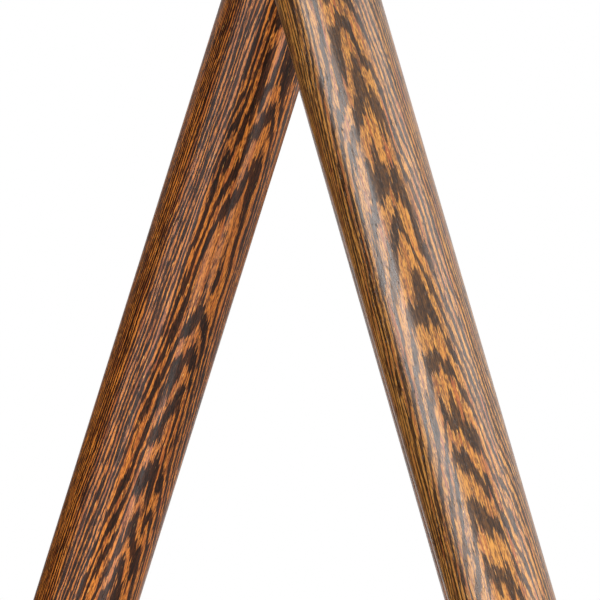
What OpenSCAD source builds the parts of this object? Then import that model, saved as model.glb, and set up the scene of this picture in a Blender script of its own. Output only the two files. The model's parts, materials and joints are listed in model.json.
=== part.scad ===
// Field tripod with three round hardwood legs, brass fittings and a pan and tilt head. Millimetres.
// +Z is up. The origin is on the axis of the camera screw, in the plane that the camera sits on.
// The legs hinge in a row along Y, so they fold flat, side by side. Open, the middle leg leans
// to -X, and the two outer legs lean to +X, one towards -Y (front) and one towards +Y (rear).
// Each leg is drawn hanging from its hinge at the origin, with its hinge pin along Y,
// its lower end at -Z and the way it opens towards +X, and is then put in its place.

/* [Legs] */
// Diameter of the round upper legs
leg_d = 28; // [26:1:32]
// Length of an upper leg, from its hinge to its lower end
leg_len = 640; // [400:10:800]
// Lean of each open leg from the vertical, in degrees
splay = 22; // [16:1:25]
// Distance between neighbouring hinges along the row
row_pitch = 36; // [36:1:44]
// How far each hinge stands back from the row's middle line, away from where its leg leans
hinge_offset = 5; // [3:0.5:6]
// Thickness of the flat tenon at the top of a leg
tenon_t = 14; // [12:1:16]
// Length of solid wood below the hinge, above the bore for the extension
solid_top = 60; // [45:5:90]

/* [Extensions] */
// Diameter of the sliding extension rods
ext_d = 17; // [15:0.5:18]
// Length of rod that stays in the leg at full extension
grip_len = 60; // [40:5:90]
// Length of the brass stop bush on top of an extension
stop_len = 14; // [10:1:20]
// How far the stop bush stands proud of the rod
stop_proud = 0.9; // [0.6:0.1:1.1]
// Wall of the stop bush
stop_wall = 1.9; // [1.5:0.1:2.2]
// Spare air above a pushed-in extension
bore_air = 8; // [4:1:15]

/* [Clamp collars] */
// Wall of the sleeve round the foot of an upper leg
sleeve_wall = 2; // [1.5:0.25:3]
// How far the sleeve stands proud of the leg
sleeve_proud = 1; // [0.5:0.25:2]
// Length of the sleeve on the wood
sleeve_len = 34; // [24:2:50]
// Length of the split neck that grips the extension
neck_len = 26; // [22:1:34]
// Wall of the split neck
neck_wall = 3.6; // [3:0.2:4.4]
// Width of the slit in the neck
slit_w = 2; // [1.5:0.5:3]
// Thickness of each clamp ear
ear_t = 5; // [4:0.5:6]
// Height of the clamp ears along the leg
ear_h = 16; // [12:1:20]
// Reach of the clamp ears past the neck
ear_reach = 12; // [10:0.5:14]
// Diameter of the clamp screw
clamp_d = 5; // [4:0.5:6]
// Radius of the wings, out to their tips
wing_reach = 14; // [12:0.5:15]
// Thickness of the wings
wing_t = 2.8; // [2:0.2:4]

/* [Feet] */
// Diameter of the brass shoe at its shoulder
shoe_d = 23; // [22:0.5:26]
// Length of the brass shoe
shoe_len = 48; // [40:1:60]
// Diameter of the wood inside the shoe
shoe_bore = 12; // [10:0.5:13]
// Diameter of the steel spike
spike_d = 7; // [6:0.5:8]
// Length of the spike below the shoe, to the centre of its rounded tip
spike_len = 24; // [16:1:34]
// Radius of the rounded spike tip
tip_r = 2.2; // [1.6:0.2:2.6]

/* [Head casting] */
// Half width of the hinge bar
bar_half = 22; // [22:1:26]
// Thickness of the hinge bar
bar_t = 10; // [8:1:14]
// Thickness of a hinge lug
lug_t = 5; // [4:0.5:6]
// Radius of the rounded end of a lug
lug_r = 11; // [9:0.5:12]
// Diameter of the hinge bolts
bolt_d = 6; // [5:0.5:7]
// Wall of the brass bush in a leg's hinge hole
bush_wall = 1.5; // [1:0.25:2]
// Diameter of the round boss under the turntable
boss_d = 52; // [46:1:56]
// Height of the round boss
boss_h = 11; // [10:1:14]
// Diameter of the pan bolt
pan_bolt_d = 8; // [7:0.5:9]

/* [Pan and tilt head] */
// Wall of the turntable's skirt round the boss
skirt_wall = 6; // [5:0.5:8]
// Thickness of the turntable's disc
table_t = 6; // [5:0.5:8]
// Thickness of the yoke's plate
yoke_t = 5; // [4:0.5:6]
// Width of the yoke's cheeks
cheek_w = 20; // [18:1:24]
// Thickness of the yoke's cheeks and of the platform's ears
cheek_t = 6; // [5:0.5:7]
// Distance between the inner faces of the cheeks
yoke_gap = 46; // [44:1:50]
// Height of the tilt axis above the yoke's plate
tilt_h = 30; // [27:1:34]
// Diameter of the tilt pins
tilt_pin_d = 8; // [7:0.5:9]

/* [Camera platform] */
// Diameter of the wooden platform
platform_d = 84; // [76:1:90]
// Thickness of the wooden platform
platform_t = 13; // [11:1:16]
// Height of the brass underplate above the tilt axis
platform_rise = 11.5; // [11:0.5:14]
// Diameter of the brass underplate
plate_d = 62; // [58:1:66]
// Thickness of the brass underplate
plate_t = 3; // [2.5:0.5:4]
// Diameter of the leather pad
pad_d = 76; // [66:1:76]
// Thickness of the leather pad
pad_t = 2.4; // [2:0.2:4]
// Diameter of the camera screw's thread: 9.525 is 3/8 inch, 6.35 is 1/4 inch
stud_d = 9.525; // [6.35, 9.525]
// Diameter of the camera screw's plain shank
shank_d = 8; // [5:0.5:8]
// Height of the camera screw above the pad
stud_up = 7; // [5:0.5:9]
// Diameter of the thumb wheel of the camera screw
wheel_d = 26; // [22:1:28]
// Thickness of the thumb wheel
wheel_t = 8; // [7:0.5:10]

/* [Hidden] */
$fn = 64;

wood_colour = "saddlebrown";
brass_colour = "goldenrod";
steel_colour = "silver";
leather_colour = "sienna";

// Clearances
run = 0.05;        // radial, a pin or shaft that turns in its hole
seat = 0.03;       // radial, two pieces fitted tight on each other
slide_gap = 0.1;   // radial, an extension in its collar neck
stop_gap = 0.3;    // radial, a stop bush in the leg's bore
face_gap = 0.3;    // between faces that move past each other
rub_gap = 0.1;     // between flat faces that turn on each other
lap = 1;           // how deep two shapes of one piece run into each other

// Scallops round the thumb wheels
lock_scallops = 12;
tilt_scallops = 16;
screw_scallops = 18;

// Where the legs hinge and point, seen from above
leg_names = ["left", "front", "rear"];
outer_lean = 60;
hinge_place = [[hinge_offset, 0], [-hinge_offset, -row_pitch], [-hinge_offset, row_pitch]];
leg_turn = [180, -outer_lean, outer_lean];

// Legs, with distances taken down from the hinge
leg_r = leg_d / 2;
tenon_low = lug_r + 2.5;                         // where the tenon's flats end
bush_r = bolt_d / 2 + run + bush_wall;
ext_r = ext_d / 2;
stop_r = ext_r + stop_proud;
bore_r = stop_r + stop_gap;
bore_len = leg_len - solid_top;
ext_in_len = bore_len - bore_air;                // length of an extension inside its leg
slide_travel = ext_in_len - stop_len - grip_len; // how far an extension comes out
stop_neck_r = stop_r - stop_wall;                // the rod's end inside its stop bush
mark_w = 1.2;                                    // groove round the rod that shows at full reach
mark_deep = 0.4;

// Clamp collars
sleeve_r = leg_r + sleeve_proud;
sleeve_seat_r = sleeve_r - sleeve_wall;
sleeve_floor = 4;                                // thickness of the collar below the leg's end
neck_r = ext_r + slide_gap + neck_wall;
neck_end = leg_len + neck_len;
clamp_x = neck_r + ear_reach / 2;                // distance from leg axis to the clamp screw
clamp_at = neck_end - ear_h / 2 - 3;
pin_r = 1.4;
pin_in = 2.2;                                    // how deep a collar pin stands in the wood
pin_up = 0.25;                                   // how far its head stands proud
pin_at = leg_len - sleeve_len * 0.7;
wing_boss_r = clamp_d * 0.95;
wing_boss_h = 8;

// Feet
shoe_top = neck_end + face_gap;
shoe_band = 8;
shoe_low_r = spike_d / 2 + 2.5;
shoe_socket = shoe_len * 0.7;
shoe_neck_r = shoe_bore / 2 - seat;              // the rod's end inside its shoe
spike_in = shoe_len - shoe_socket + 4;           // how far the spike reaches up from the shoe's end
spike_cyl = 2;                                   // length of plain spike below the shoe

// Head, with heights taken up from the hinge line
lug_in = tenon_t / 2 + face_gap;
lug_out = lug_in + lug_t;
nut_r = bolt_d * 0.95;
nut_h = 4.5;
bolt_head_r = bolt_d / 2 + 2.5;
bolt_head_h = 3;
slot_w = 1.2;
bar_low = leg_r * (sin(splay) + cos(splay)) + face_gap;  // the open tenon's corner stops here
bar_top = bar_low + bar_t;
boss_r = boss_d / 2;
boss_top = bar_top + boss_h;
pan_head_r = pan_bolt_d / 2 + 3;
pan_head_h = 3.5;
table_low = boss_top + rub_gap;
table_top = table_low + table_t;
skirt_in = boss_r + face_gap;
skirt_r = skirt_in + skirt_wall;
skirt_low = bar_top + 1;
lock_d = 5;
lock_wheel_r = 6.5;
lock_wheel_h = 6;
lock_collar_h = 3;
lock_boss_h = 2;
lock_z = bar_top + lock_wheel_r + 2 * face_gap;  // so that the wheel passes over the bar
yoke_top = table_top + yoke_t;
yoke_screw_d = 4;
yoke_screw_y = yoke_gap / 2 - 8;
washer_h = 1.5;
tilt_z = yoke_top + tilt_h;
cheek_in = yoke_gap / 2;
cheek_out = cheek_in + cheek_t;
ear_out = cheek_in - face_gap;                   // the platform's ears stand inside the cheeks
ear_in = ear_out - cheek_t;
ear_w = cheek_w - 2;
tilt_wheel_r = 11;
tilt_wheel_h = 7;
tilt_collar_h = 4;

// Platform
plate_low = tilt_z + platform_rise;
board_low = plate_low + plate_t;
board_top = board_low + platform_t;
board_round = 2;
board_screw_d = 4;
board_screw_ring = plate_d / 2 - 5.5;
pad_top = board_top + pad_t;
shank_r = shank_d / 2;
groove_r = shank_r - 0.8;
clip_t = 1.2;
clip_r = shank_r + 2.6;
clip_low = board_low + face_gap;
wheel_top = plate_low - face_gap;
wheel_low = wheel_top - wheel_t;
thread_in = 0.5;                                 // how far the thread reaches down into the pad

// Puts a shape drawn upright on a hinge into hinge i's place in the row
module at_hinge(i) {
    translate(hinge_place[i]) rotate([0, 0, leg_turn[i]]) children();
}

// Puts a shape drawn along a hanging leg into open leg i's place
module on_leg(i) {
    at_hinge(i) rotate([0, -splay, 0]) children();
}

// Lowers a shape drawn with z from the hinge line, so that the camera sits on z = 0
module below_seat() {
    translate([0, 0, -pad_top]) children();
}

// A round bar along Y from y0 to y1
module y_bar(r, y0, y1) {
    translate([0, y1, 0]) rotate([90, 0, 0]) cylinder(r = r, h = y1 - y0);
}

// A tube along Z, hanging from z = 0
module hanging_tube(r, hole_r, h) {
    translate([0, 0, -h]) difference() {
        cylinder(r = r, h = h);
        translate([0, 0, -lap]) cylinder(r = hole_r, h = h + 2 * lap);
    }
}

// A thumb wheel with a scalloped edge, from z = 0 up
module scalloped_wheel(r, h, scallops) {
    scallop_r = 3.2 * r / scallops;
    difference() {
        cylinder(r = r, h = h);
        for (k = [0 : scallops - 1]) rotate([0, 0, k * 360 / scallops])
            translate([r + scallop_r * 0.55, 0, -lap]) cylinder(r = scallop_r, h = h + 2 * lap);
    }
}

// A wing head with its foot on y = 0, its boss along +Y and its wings spread along X
module wing_head() {
    lobe_r = wing_reach * 0.36;
    lobe_x = wing_reach - lobe_r;
    lobe_y = wing_boss_h + lobe_r / 2;
    y_bar(r = wing_boss_r, y0 = 0, y1 = wing_boss_h);
    for (side = [0, 1]) mirror([side, 0, 0]) translate([0, 0, -wing_t / 2]) linear_extrude(wing_t) {
        translate([lobe_x, lobe_y]) circle(r = lobe_r);
        polygon([[0, wing_t / 2], [wing_boss_r, wing_t / 2],
                 [lobe_x + lobe_r * 0.7, lobe_y - lobe_r * 0.7], [lobe_x - lobe_r * 0.5, lobe_y + lobe_r * 0.86],
                 [wing_boss_r, wing_boss_h], [0, wing_boss_h]]);
    }
}

// Two opposite pins through a collar's sleeve into the wood, or the holes for them
module collar_pin_pair(r, head_up) {
    for (side = [0, 1]) mirror([0, side, 0]) translate([0, 0, -pin_at])
        y_bar(r = r, y0 = sleeve_seat_r - pin_in, y1 = sleeve_r + head_up);
}

// The square block over a leg's hinge that keeps its outer corner, and the round inner one
module leg_top_outline() {
    y_bar(r = leg_r, y0 = -leg_r, y1 = leg_r);
    translate([0, -leg_r, 0]) cube([leg_r, leg_d, leg_r]);
    translate([-leg_r, -leg_r, -leg_len]) cube([leg_d, leg_d, leg_len]);
}

module leg_wood() {
    color(wood_colour) difference() {
        intersection() {
            translate([0, 0, -leg_len]) cylinder(r = leg_r, h = leg_len + leg_r);
            leg_top_outline();
        }
        for (side = [0, 1]) mirror([0, side, 0]) translate([-leg_r - lap, 0, 0]) rotate([90, 0, 90])
            linear_extrude(leg_d + 2 * lap)
                polygon([[tenon_t / 2, -tenon_low], [tenon_t / 2 + leg_r, -tenon_low - leg_r],
                         [tenon_t / 2 + leg_r, leg_d], [tenon_t / 2, leg_d]]);
        y_bar(r = bush_r + seat, y0 = -leg_r, y1 = leg_r);
        translate([0, 0, -leg_len - lap]) cylinder(r = bore_r, h = bore_len + lap);
        translate([0, 0, -leg_len + sleeve_len])
            hanging_tube(leg_r + lap, sleeve_seat_r - seat, sleeve_len + lap);
        collar_pin_pair(pin_r + seat, lap);
    }
}

module hinge_bush() {
    color(brass_colour) difference() {
        y_bar(r = bush_r, y0 = -tenon_t / 2, y1 = tenon_t / 2);
        y_bar(r = bolt_d / 2 + run, y0 = -leg_r, y1 = leg_r);
    }
}

module collar_pins() {
    color(brass_colour) collar_pin_pair(pin_r, pin_up);
}

module clamp_collar() {
    slit_len = neck_len - sleeve_floor + lap;
    color(brass_colour) difference() {
        union() {
            translate([0, 0, -leg_len + sleeve_len]) hanging_tube(sleeve_r, ext_r, sleeve_len + sleeve_floor);
            translate([0, 0, -leg_len - lap]) hanging_tube(neck_r, ext_r, neck_len - lap);
            for (side = [0, 1]) mirror([0, side, 0])
                translate([neck_r - 2, slit_w / 2, -clamp_at - ear_h / 2]) cube([ear_reach + 2, ear_t, ear_h]);
        }
        translate([0, 0, -leg_len]) cylinder(r = sleeve_seat_r, h = sleeve_len + lap);
        translate([0, 0, -neck_end - lap]) cylinder(r = ext_r + slide_gap, h = neck_len + 2 * lap);
        translate([0, -slit_w / 2, -neck_end - lap]) cube([neck_r + ear_reach + lap, slit_w, slit_len]);
        translate([clamp_x, 0, -clamp_at]) y_bar(r = clamp_d / 2 + run, y0 = -leg_r, y1 = leg_r);
        collar_pin_pair(pin_r + seat, lap);
    }
}

module clamp_screw() {
    head_y = slit_w / 2 + ear_t + face_gap;
    color(brass_colour) translate([clamp_x, 0, -clamp_at]) union() {
        y_bar(r = clamp_d / 2, y0 = -head_y - clamp_d / 3, y1 = head_y + lap);
        translate([0, head_y, 0]) wing_head();
    }
}

module extension_rod() {
    inside = shoe_top - leg_len + ext_in_len;
    color(wood_colour) translate([0, 0, -shoe_top]) difference() {
        union() {
            cylinder(r = ext_r, h = inside - stop_len);
            cylinder(r = stop_neck_r - seat, h = inside);
            translate([0, 0, -shoe_socket]) cylinder(r = shoe_neck_r, h = shoe_socket + lap);
        }
        translate([0, 0, -shoe_len]) cylinder(r = spike_d / 2 + seat, h = spike_in + lap);
        translate([0, 0, slide_travel]) hanging_tube(ext_r + lap, ext_r - mark_deep, mark_w);
    }
}

module stop_bush() {
    color(brass_colour) translate([0, 0, -leg_len + ext_in_len]) hanging_tube(stop_r, stop_neck_r, stop_len);
}

module foot_shoe() {
    color(brass_colour) translate([0, 0, -shoe_top]) difference() {
        union() {
            translate([0, 0, -shoe_band]) cylinder(r = shoe_d / 2, h = shoe_band);
            translate([0, 0, -shoe_len])
                cylinder(r1 = shoe_low_r, r2 = shoe_d / 2 - lap, h = shoe_len - shoe_band);
        }
        translate([0, 0, -shoe_socket]) cylinder(r = shoe_bore / 2, h = shoe_len);
        translate([0, 0, -shoe_len - lap]) cylinder(r = spike_d / 2 + seat, h = shoe_len);
    }
}

module foot_spike() {
    cone_lean = atan((spike_d / 2 - tip_r) / (spike_len - spike_cyl));
    color(steel_colour) translate([0, 0, -shoe_top - shoe_len]) union() {
        translate([0, 0, -spike_cyl]) cylinder(r = spike_d / 2, h = spike_cyl + spike_in);
        translate([0, 0, -spike_len])
            cylinder(r1 = tip_r * cos(cone_lean), r2 = spike_d / 2, h = spike_len - spike_cyl);
        translate([0, 0, -spike_len]) sphere(r = tip_r);
    }
}

// The two lugs that hang from the bar on either side of one leg
module hinge_lugs() {
    for (side = [0, 1]) mirror([0, side, 0]) {
        y_bar(r = lug_r, y0 = lug_in, y1 = lug_out);
        translate([-lug_r, lug_in, 0]) cube([2 * lug_r, lug_t, bar_low + lap]);
    }
}

module head_casting() {
    color(brass_colour) difference() {
        union() {
            translate([0, 0, bar_low]) linear_extrude(bar_t) union() {
                square([2 * bar_half, 2 * row_pitch], center = true);
                for (side = [-1, 1]) translate([0, side * row_pitch]) circle(r = bar_half);
            }
            translate([0, 0, bar_top - lap]) cylinder(r = boss_r, h = boss_h + lap);
            for (i = [0 : 2]) at_hinge(i) hinge_lugs();
        }
        for (i = [0 : 2]) at_hinge(i) y_bar(r = bolt_d / 2 + seat, y0 = -lug_out - lap, y1 = lug_out + lap);
        cylinder(r = pan_bolt_d / 2 + seat, h = boss_top + lap);
        cylinder(r = pan_head_r + seat, h = bar_low + pan_head_h);
    }
}

module hinge_bolt() {
    head_end = lug_out + bolt_head_h;
    color(steel_colour) difference() {
        union() {
            y_bar(r = bolt_d / 2, y0 = -lug_out - nut_h - lap, y1 = lug_out + lap);
            y_bar(r = bolt_head_r, y0 = lug_out, y1 = head_end);
        }
        translate([-bolt_head_r - lap, head_end - slot_w, -slot_w / 2])
            cube([2 * bolt_head_r + 2 * lap, slot_w + lap, slot_w]);
    }
}

module hinge_nuts() {
    color(steel_colour) for (i = [0 : 2]) at_hinge(i) difference() {
        translate([0, -lug_out, 0]) rotate([90, 30, 0]) cylinder(r = nut_r, h = nut_h, $fn = 6);
        y_bar(r = bolt_d / 2 + seat, y0 = -leg_d, y1 = leg_d);
    }
}

module pan_bolt() {
    color(steel_colour) union() {
        translate([0, 0, bar_low]) cylinder(r = pan_head_r, h = pan_head_h);
        translate([0, 0, bar_low + lap])
            cylinder(r = pan_bolt_d / 2, h = yoke_top + washer_h + nut_h - bar_low);
    }
}

module pan_nut() {
    color(steel_colour) translate([0, 0, yoke_top + rub_gap]) difference() {
        union() {
            cylinder(r = pan_bolt_d, h = washer_h);
            cylinder(r = pan_bolt_d * 0.85, h = washer_h + nut_h, $fn = 6);
        }
        translate([0, 0, -lap]) cylinder(r = pan_bolt_d / 2 + seat, h = washer_h + nut_h + 2 * lap);
    }
}

// The two screws that hold the yoke on the turntable, or the holes for them
module yoke_screw_pair(r, head_r) {
    for (side = [-1, 1]) translate([0, side * yoke_screw_y, 0]) {
        translate([0, 0, table_low + lap]) cylinder(r = r, h = yoke_top - table_low);
        if (head_r > 0) translate([0, 0, yoke_top]) cylinder(r = head_r, h = yoke_screw_d / 2);
    }
}

module yoke_screws() {
    color(steel_colour) yoke_screw_pair(yoke_screw_d / 2, yoke_screw_d * 0.9);
}

module turntable() {
    color(brass_colour) difference() {
        union() {
            translate([0, 0, skirt_low]) cylinder(r = skirt_r, h = table_top - skirt_low);
            translate([skirt_r - 2, 0, lock_z]) rotate([0, 90, 0]) cylinder(r = lock_d, h = 2 + lock_boss_h);
        }
        translate([0, 0, skirt_low - lap]) cylinder(r = skirt_in, h = table_low - skirt_low + lap);
        cylinder(r = pan_bolt_d / 2 + run, h = table_top + lap);
        translate([0, 0, lock_z]) rotate([0, 90, 0]) cylinder(r = lock_d / 2 + run, h = 2 * skirt_r);
        yoke_screw_pair(yoke_screw_d / 2 + seat, 0);
    }
}

module pan_lock_screw() {
    collar_at = skirt_r + lock_boss_h + face_gap;
    color(brass_colour) translate([0, 0, lock_z]) rotate([0, 90, 0]) union() {
        translate([0, 0, skirt_in]) cylinder(r = lock_d / 2, h = collar_at + lap - skirt_in);
        translate([0, 0, collar_at]) cylinder(r = lock_d / 2 + 1.5, h = lock_collar_h + lap);
        translate([0, 0, collar_at + lock_collar_h]) scalloped_wheel(lock_wheel_r, lock_wheel_h, lock_scallops);
    }
}

module tilt_yoke() {
    color(brass_colour) difference() {
        union() {
            translate([-cheek_w / 2, -cheek_out, table_top]) cube([cheek_w, 2 * cheek_out, yoke_t]);
            for (side = [0, 1]) mirror([0, side, 0]) {
                translate([-cheek_w / 2, cheek_in, table_top]) cube([cheek_w, cheek_t, tilt_z - table_top]);
                translate([0, 0, tilt_z]) y_bar(r = cheek_w / 2, y0 = cheek_in, y1 = cheek_out);
            }
        }
        translate([0, 0, tilt_z]) y_bar(r = tilt_pin_d / 2 + run, y0 = -cheek_out - lap, y1 = cheek_out + lap);
        translate([0, 0, table_top - lap]) cylinder(r = pan_bolt_d / 2 + run, h = yoke_t + 2 * lap);
        yoke_screw_pair(yoke_screw_d / 2 + seat, 0);
    }
}

module tilt_pivot_screw() {
    head_h = 3.5;
    head_end = cheek_out + head_h;
    color(steel_colour) translate([0, 0, tilt_z]) difference() {
        union() {
            y_bar(r = tilt_pin_d / 2, y0 = ear_in, y1 = cheek_out + lap);
            y_bar(r = tilt_pin_d * 0.8, y0 = cheek_out, y1 = head_end);
        }
        translate([-tilt_pin_d, head_end - slot_w, -slot_w / 2]) cube([2 * tilt_pin_d, slot_w + lap, slot_w]);
    }
}

module tilt_lock_screw() {
    collar_at = cheek_out + face_gap;
    color(brass_colour) translate([0, 0, tilt_z]) rotate([90, 0, 0]) union() {
        translate([0, 0, ear_in]) cylinder(r = tilt_pin_d / 2, h = collar_at + lap - ear_in);
        translate([0, 0, collar_at]) cylinder(r = tilt_pin_d / 2 + 2, h = tilt_collar_h + lap);
        translate([0, 0, collar_at + tilt_collar_h]) scalloped_wheel(tilt_wheel_r, tilt_wheel_h, tilt_scallops);
    }
}

// The four wood screws that hold the underplate on the board, or the holes for them
module board_screw_ring_of(r, head_r) {
    for (k = [0 : 3]) rotate([0, 0, 45 + 90 * k]) translate([board_screw_ring, 0, plate_low]) {
        translate([0, 0, -lap]) cylinder(r = r, h = lap + plate_t + platform_t * 0.65);
        if (head_r > 0) translate([0, 0, -board_screw_d / 2]) cylinder(r = head_r, h = board_screw_d / 2);
    }
}

module underplate_screws() {
    color(steel_colour) board_screw_ring_of(board_screw_d / 2, board_screw_d * 0.85);
}

module platform_underplate() {
    color(brass_colour) difference() {
        union() {
            translate([0, 0, plate_low]) cylinder(r = plate_d / 2, h = plate_t);
            for (side = [0, 1]) mirror([0, side, 0]) {
                translate([-ear_w / 2, ear_in, tilt_z]) cube([ear_w, cheek_t, platform_rise + lap]);
                translate([0, 0, tilt_z]) y_bar(r = ear_w / 2, y0 = ear_in, y1 = ear_out);
            }
        }
        translate([0, 0, tilt_z]) y_bar(r = tilt_pin_d / 2 + run, y0 = -cheek_out, y1 = cheek_out);
        cylinder(r = shank_r + run, h = pad_top);
        board_screw_ring_of(board_screw_d / 2 + seat, 0);
    }
}

module platform_board() {
    color(wood_colour) difference() {
        union() {
            translate([0, 0, board_low]) cylinder(r = platform_d / 2, h = platform_t - board_round);
            translate([0, 0, board_top - board_round])
                cylinder(r1 = platform_d / 2, r2 = platform_d / 2 - board_round, h = board_round);
        }
        translate([0, 0, board_low - lap]) cylinder(r = clip_r + face_gap, h = lap + 2 * face_gap + clip_t);
        cylinder(r = shank_r + face_gap, h = pad_top);
        board_screw_ring_of(board_screw_d / 2 + seat, 0);
    }
}

module platform_pad() {
    color(leather_colour) translate([0, 0, board_top]) difference() {
        cylinder(r = pad_d / 2, h = pad_t);
        translate([0, 0, -lap]) cylinder(r = stud_d / 2 + lap, h = pad_t + 2 * lap);
    }
}

module camera_screw() {
    color(steel_colour) difference() {
        union() {
            translate([0, 0, wheel_low + lap]) cylinder(r = shank_r, h = pad_top - wheel_low - lap);
            translate([0, 0, pad_top - thread_in]) cylinder(r = stud_d / 2, h = thread_in + stud_up);
        }
        translate([0, 0, clip_low + clip_t]) hanging_tube(stud_d, groove_r, clip_t);
    }
}

module camera_screw_wheel() {
    color(brass_colour) translate([0, 0, wheel_low]) difference() {
        scalloped_wheel(wheel_d / 2, wheel_t, screw_scallops);
        translate([0, 0, lap]) cylinder(r = shank_r + seat, h = wheel_t);
    }
}

module camera_screw_clip() {
    color(steel_colour) translate([0, 0, clip_low + clip_t - seat])
        hanging_tube(clip_r, groove_r + seat, clip_t - 2 * seat);
}

below_seat() head_casting();
below_seat() hinge_nuts();
below_seat() pan_bolt();
below_seat() pan_nut();
for (i = [0 : 2]) {
    leg = leg_names[i];
    below_seat() at_hinge(i) hinge_bolt();
    below_seat() on_leg(i) leg_wood();
    below_seat() on_leg(i) hinge_bush();
    below_seat() on_leg(i) clamp_collar();
    below_seat() on_leg(i) collar_pins();
    below_seat() on_leg(i) clamp_screw();
    below_seat() on_leg(i) extension_rod();
    below_seat() on_leg(i) stop_bush();
    below_seat() on_leg(i) foot_shoe();
    below_seat() on_leg(i) foot_spike();
}
below_seat() turntable();
below_seat() pan_lock_screw();
below_seat() tilt_yoke();
below_seat() yoke_screws();
below_seat() tilt_pivot_screw();
below_seat() tilt_lock_screw();
below_seat() platform_underplate();
below_seat() underplate_screws();
below_seat() platform_board();
below_seat() platform_pad();
below_seat() camera_screw();
below_seat() camera_screw_wheel();
below_seat() camera_screw_clip();
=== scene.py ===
# %% [markdown]
# # A wooden field tripod
# Three round legs of oiled wenge hang in a row from a brass head. This lesson dresses a finished
# mechanical model: it loads the model as a fixed frame, gives every piece its wood, brass, steel or
# leather, and replaces the plainest solids by surfaces with threads, knurls and softened edges.
# Lengths are in metres, +Z is up, and the origin is where the camera screw meets the leather pad.

# %% Load the frame
import json
import math
import bmesh
import bpy
import numpy as np
from mathutils import Matrix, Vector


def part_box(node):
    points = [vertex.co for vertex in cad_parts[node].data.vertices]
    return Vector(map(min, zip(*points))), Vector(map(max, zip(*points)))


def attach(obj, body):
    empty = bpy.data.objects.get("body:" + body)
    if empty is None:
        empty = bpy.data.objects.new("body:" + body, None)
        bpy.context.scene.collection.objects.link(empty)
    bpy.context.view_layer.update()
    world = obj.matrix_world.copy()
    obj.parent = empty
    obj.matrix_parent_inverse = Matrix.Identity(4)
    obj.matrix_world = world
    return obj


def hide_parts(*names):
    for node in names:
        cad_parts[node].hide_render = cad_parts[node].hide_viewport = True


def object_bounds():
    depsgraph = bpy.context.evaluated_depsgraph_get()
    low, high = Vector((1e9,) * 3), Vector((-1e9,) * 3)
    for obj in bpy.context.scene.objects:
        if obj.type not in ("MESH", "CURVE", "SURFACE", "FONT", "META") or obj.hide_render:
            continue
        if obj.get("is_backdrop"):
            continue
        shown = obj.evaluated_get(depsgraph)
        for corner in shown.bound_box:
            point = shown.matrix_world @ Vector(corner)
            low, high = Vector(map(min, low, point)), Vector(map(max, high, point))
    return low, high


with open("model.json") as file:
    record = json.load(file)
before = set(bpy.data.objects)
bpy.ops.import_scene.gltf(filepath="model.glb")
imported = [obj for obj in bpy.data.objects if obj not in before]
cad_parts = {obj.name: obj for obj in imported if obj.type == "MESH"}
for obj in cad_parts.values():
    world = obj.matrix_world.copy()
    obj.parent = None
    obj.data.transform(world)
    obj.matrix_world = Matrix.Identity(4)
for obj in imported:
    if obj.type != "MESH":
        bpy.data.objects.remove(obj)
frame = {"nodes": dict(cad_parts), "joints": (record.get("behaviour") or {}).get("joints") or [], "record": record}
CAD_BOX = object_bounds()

MM = 0.001
UP = np.array([0.0, 0.0, 1.0])
EAST = np.array([1.0, 0.0, 0.0])
NORTH = np.array([0.0, 1.0, 0.0])
ORIGIN = np.zeros(3)
JOINTS = {joint["name"]: joint for joint in frame["joints"]}
LEGS = ("left", "front", "rear")

# %% [markdown]
# ## Where a leg is
# Each leg's own axes come from its joints: the fold's axis lies along the hinge bolt, and the
# extension slides straight down the leg. Everything on a leg is worked out in those axes.

# %% Axes of a leg
def unit(vector):
    """The vector divided by its length."""
    return np.asarray(vector, float) / np.linalg.norm(vector)


def leg_axes(leg):
    """A leg's hinge point, and the unit vectors down the leg and along its hinge bolt."""
    fold = JOINTS[leg + "_leg_fold"]
    slide = JOINTS[leg + "_extension_slide"]
    return np.array(fold["pos_m"]), unit(slide["axis"]), unit(fold["axis"])


HINGE, DOWN, BOLT = {}, {}, {}
for leg in LEGS:
    HINGE[leg], DOWN[leg], BOLT[leg] = leg_axes(leg)
    print(leg, "leg leans", round(math.degrees(math.acos(-DOWN[leg][2])), 1), "degrees")

# %% [markdown]
# ## Camera
# A long lens looks straight along the row of hinges, close up on the place where the left and the
# front leg part. Seen so, the front leg hides the rear one. The camera is rolled a little, and the
# picture's size and place are counted in leg widths from the point where the two legs cross. The lens
# is worked out for the depth that the leaning front leg has reached at the picture's middle.

# %% Camera
LEG_WIDTH = 28 * MM
SHOT_DISTANCE = 4.0
SHOT_ROLL = math.radians(4.6)
SHOT_SIDE = 5.797 * LEG_WIDTH
CROSSING_ABOVE_MIDDLE = 3.815 * LEG_WIDTH
CROSSING_RIGHT_OF_MIDDLE = 0.016 * LEG_WIDTH
COMES_NEARER = 0.35
SENSOR = 36.0
SIGHT = NORTH

picture_right = np.array([math.cos(SHOT_ROLL), 0, -math.sin(SHOT_ROLL)])
picture_up = np.array([math.sin(SHOT_ROLL), 0, math.cos(SHOT_ROLL)])


def seen_crossing(leg_a, leg_b):
    """The point of leg_a's axis that lies on leg_b's axis when both are seen along Y."""
    flat = np.array([[DOWN[leg_a][0], -DOWN[leg_b][0]], [DOWN[leg_a][2], -DOWN[leg_b][2]]])
    gap = HINGE[leg_b] - HINGE[leg_a]
    along_a = np.linalg.solve(flat, gap[[0, 2]])[0]
    return HINGE[leg_a] + along_a * DOWN[leg_a]


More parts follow.
